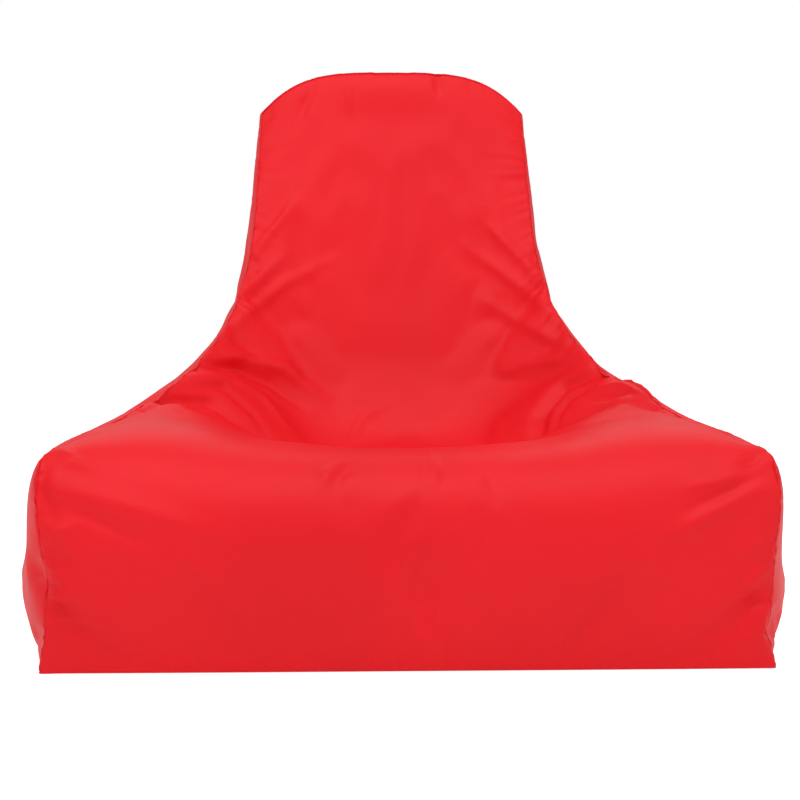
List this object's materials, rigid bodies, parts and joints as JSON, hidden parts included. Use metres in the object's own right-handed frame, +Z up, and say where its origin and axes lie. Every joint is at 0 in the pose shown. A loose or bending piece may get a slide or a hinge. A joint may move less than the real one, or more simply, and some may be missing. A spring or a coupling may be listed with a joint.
{
  "type": "bean bag chair",
  "caption": "Lounge bean bag chair in red faux leather with a wide front roll, low arms running back into a tall narrow backrest, rear zip, inner bead liner and grab loop.",
  "frame": {"origin": "on the floor, under the middle of the bag's box", "axes": "+X is the bag's own left-to-right width as seen from the front, +Y points from the front roll to the rear with its zip, +Z is up"},
  "size_m": [0.9862, 0.8472, 0.7817],
  "materials": {
    "cover_leather": "satin",
    "liner_cloth": "matt",
    "beads": "matt",
    "cover_zip_tape": "matt",
    "cover_zip_coil": "satin",
    "liner_zip_tape": "matt",
    "liner_zip_coil": "satin",
    "zip_metal": "satin",
    "label_cloth": "matt"
  },
  "bodies": {
    "bag": {"cover_front_panel": "cover_leather", "cover_left_panel": "cover_leather", "cover_right_panel": "cover_leather", "cover_base_panel": "cover_leather", "cover_top_panel": "cover_leather", "cover_rear_lower_panel": "cover_leather", "cover_rear_upper_panel": "cover_leather", "liner_front_panel": "liner_cloth", "liner_left_panel": "liner_cloth", "liner_right_panel": "liner_cloth", "liner_base_panel": "liner_cloth", "liner_top_panel": "liner_cloth", "liner_rear_lower_panel": "liner_cloth", "liner_rear_upper_panel": "liner_cloth", "bead_fill": "beads", "cover_zip_upper_tape": "cover_zip_tape", "cover_zip_lower_tape": "cover_zip_tape", "cover_zip_upper_coil": "cover_zip_coil", "cover_zip_lower_coil": "cover_zip_coil", "cover_zip_end_stops": "zip_metal", "cover_zip_start_stops": "zip_metal", "liner_zip_upper_tape": "liner_zip_tape", "liner_zip_lower_tape": "liner_zip_tape", "liner_zip_upper_coil": "liner_zip_coil", "liner_zip_lower_coil": "liner_zip_coil", "liner_zip_end_stops": "zip_metal", "liner_zip_start_stops": "zip_metal"},
    "cover_slider": {"cover_zip_slider": "zip_metal"},
    "pull_tab": {"cover_zip_pull_tab": "zip_metal"},
    "liner_slider": {"liner_zip_slider": "zip_metal"},
    "loop": {"grab_loop": "cover_leather"},
    "label": {"care_label": "label_cloth"}
  },
  "joints": [
    {"name": "cover_zip_slide", "type": "slide", "parent": "bag", "child": "cover_slider", "axis": [-1, 0, 0], "range_m": [0, 0.596]},
    {"name": "pull_tab_flip", "type": "hinge", "parent": "cover_slider", "child": "pull_tab", "pos_m": [0.298, 0.4091, 0.1], "axis": [0, 0, -1], "range_deg": [0, 180]},
    {"name": "liner_zip_slide", "type": "slide", "parent": "bag", "child": "liner_slider", "axis": [-1, 0, 0], "range_m": [0, 0.596]},
    {"name": "grab_loop_swing", "type": "hinge", "parent": "bag", "child": "loop", "pos_m": [0, 0.3258, 0.776], "axis": [1, 0, 0], "range_deg": [0, 160]},
    {"name": "care_label_fold", "type": "hinge", "parent": "bag", "child": "label", "pos_m": [0.4422, 0.4058, 0.034], "axis": [0, 0, 1], "range_deg": [-50, 60]}
  ]
}
